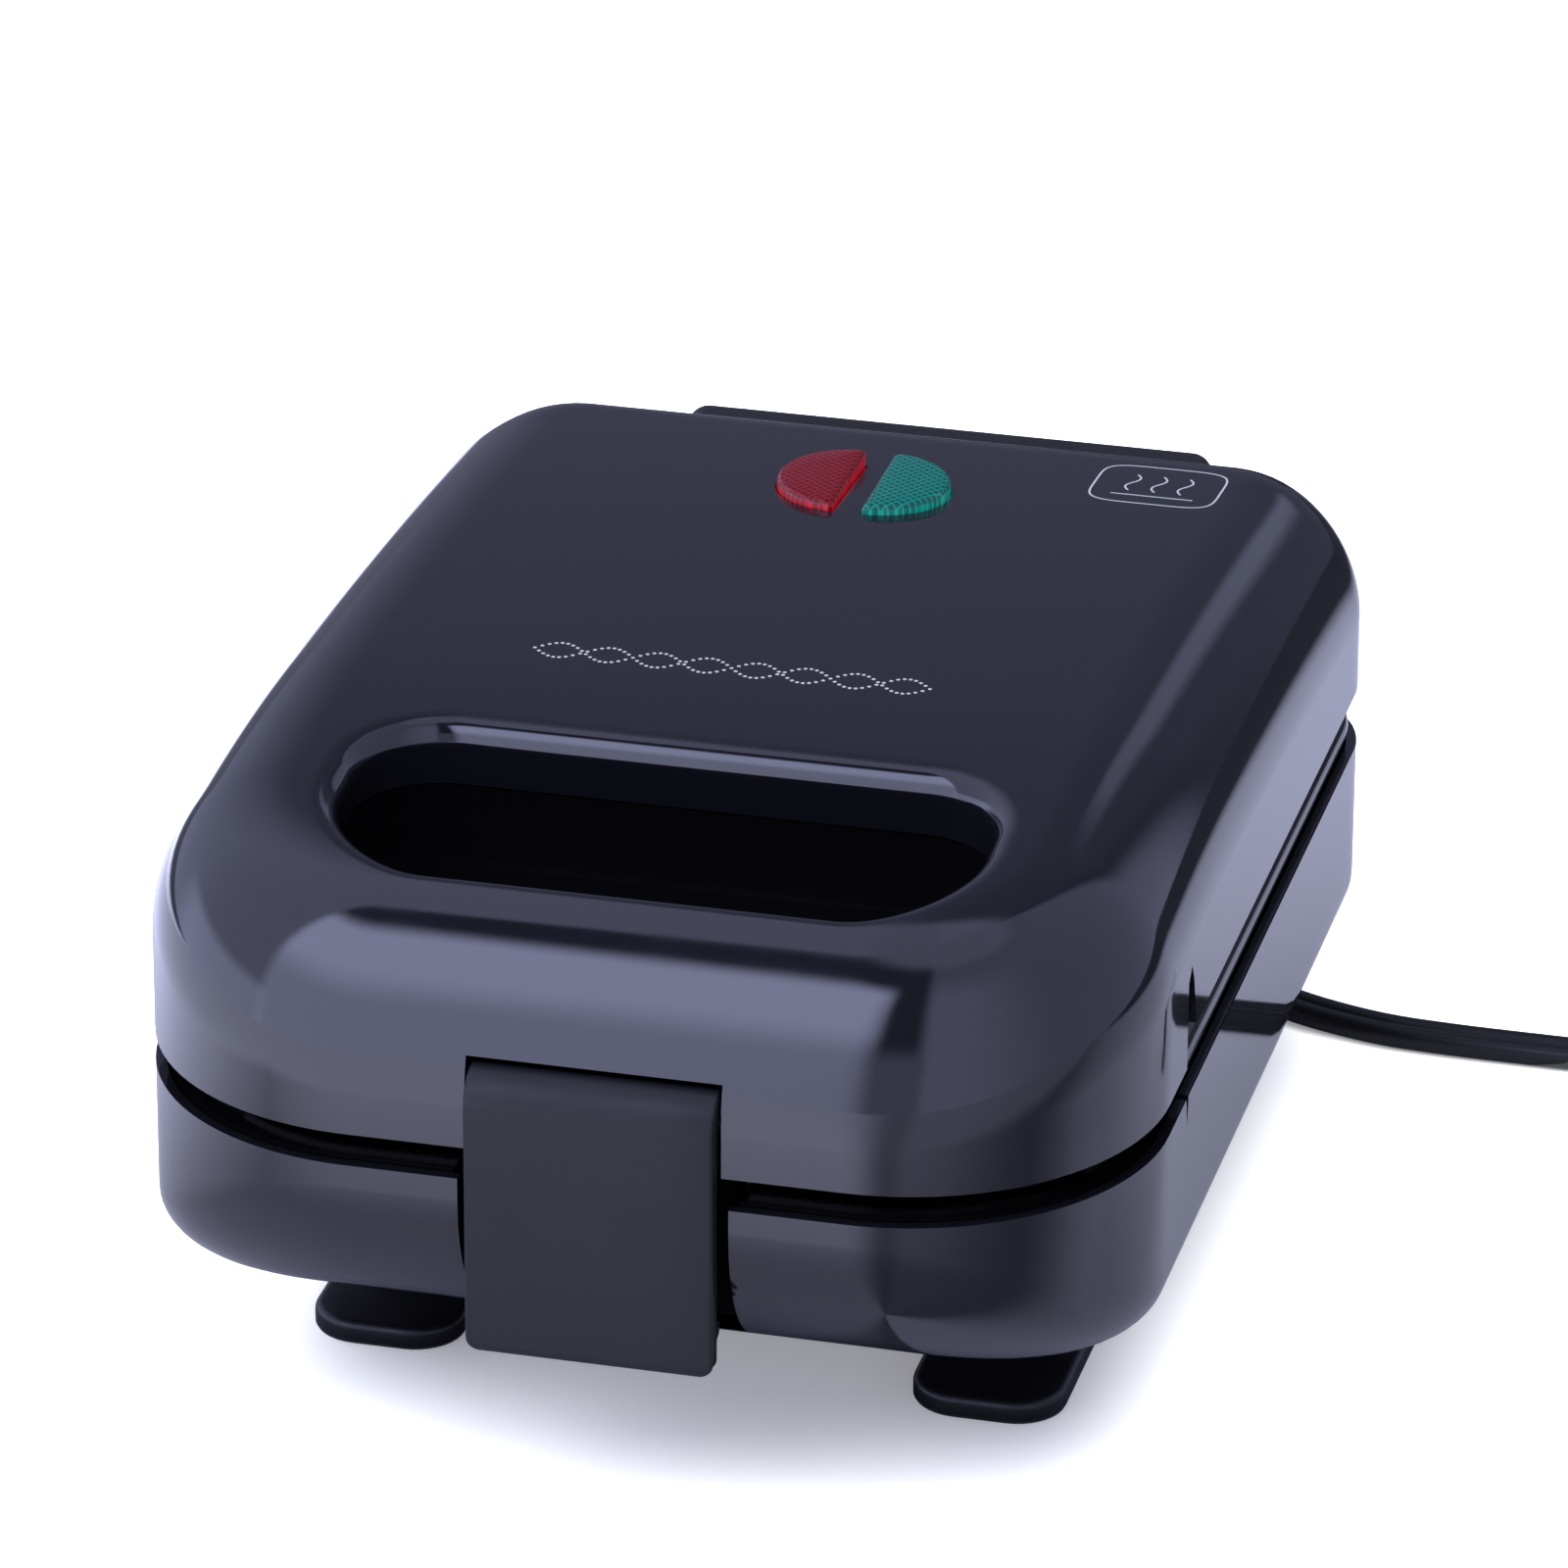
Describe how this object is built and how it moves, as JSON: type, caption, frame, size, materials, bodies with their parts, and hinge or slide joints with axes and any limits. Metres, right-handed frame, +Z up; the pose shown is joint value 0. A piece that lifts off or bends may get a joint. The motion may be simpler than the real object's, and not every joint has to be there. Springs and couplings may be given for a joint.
{
  "type": "donut maker",
  "caption": "Compact electric donut maker: a clamshell with ring moulds inside, rear hinge, front latch, finger slot, two pilot lights and a coiled power cord.",
  "frame": {"origin": "on the table, under the middle of the body's bounding box (cord left out)", "axes": "+Z up, -Y towards the front latch, +X to the right seen from the front; the hinge line runs along X at +Y"},
  "size_m": [0.2401, 0.2317, 0.0866],
  "materials": {
    "shell_black": "glossy, faint orange peel",
    "matte_black": "moulded, low sheen",
    "latch_charcoal": "moulded, fine grain",
    "foot_black": "moulded, fine grain",
    "nonstick": "dark nonstick coating, satin",
    "element": "dull sheath",
    "reflector": "mill finish",
    "steel": "zinc plated",
    "red_lens": "translucent red, prismatic",
    "green_lens": "translucent blue-green, prismatic",
    "lamp_glass": "clear",
    "ceramic": "off-white, heat resistant",
    "sleeve": "woven glass sleeving",
    "cord_rubber": "satin black",
    "brass": "plated, polished"
  },
  "bodies": {
    "base": {"lower_shell": "shell_black", "lower_frame": "matte_black", "lower_plate": "nonstick", "lower_element": "element", "lower_reflector": "reflector", "latch_catch": "matte_black", "base_hinge_bracket": "steel", "hinge_pin": "steel", "front_foot_left": "foot_black", "front_foot_right": "foot_black", "rear_foot_left": "foot_black", "rear_foot_right": "foot_black", "foot_screw_front_left": "steel", "foot_screw_front_right": "steel", "foot_screw_rear_left": "steel", "foot_screw_rear_right": "steel", "base_hinge_screw_left": "steel", "base_hinge_screw_right": "steel", "terminal_block": "ceramic", "base_harness": "sleeve", "strain_relief": "cord_rubber", "power_cord": "cord_rubber", "cord_coil": "cord_rubber", "cord_tail": "cord_rubber", "plug_body": "cord_rubber", "plug_blade_left": "brass", "plug_blade_right": "brass"},
    "lid": {"upper_shell": "shell_black", "finger_well": "matte_black", "upper_frame": "matte_black", "upper_plate": "nonstick", "upper_element": "element", "upper_reflector": "reflector", "red_lens": "red_lens", "green_lens": "green_lens", "red_lamp": "lamp_glass", "green_lamp": "lamp_glass", "lamp_holder": "matte_black", "thermostat": "steel", "thermal_fuse": "ceramic", "hinge_cover": "matte_black", "lid_hinge_bracket": "steel", "latch_bracket": "matte_black", "latch_pin": "steel", "lid_harness": "sleeve", "lid_hinge_screw_left": "steel", "lid_hinge_screw_right": "steel"},
    "latch": {"latch": "latch_charcoal"}
  },
  "joints": [
    {"name": "lid_hinge", "type": "hinge", "parent": "base", "child": "lid", "pos_m": [0, 0.088, 0.05105], "axis": [-1, 0, 0], "range_deg": [0, 100]},
    {"name": "latch_hinge", "type": "hinge", "parent": "lid", "child": "latch", "pos_m": [0, -0.0913, 0.0572], "axis": [-1, 0, 0], "range_deg": [0, 90]}
  ]
}
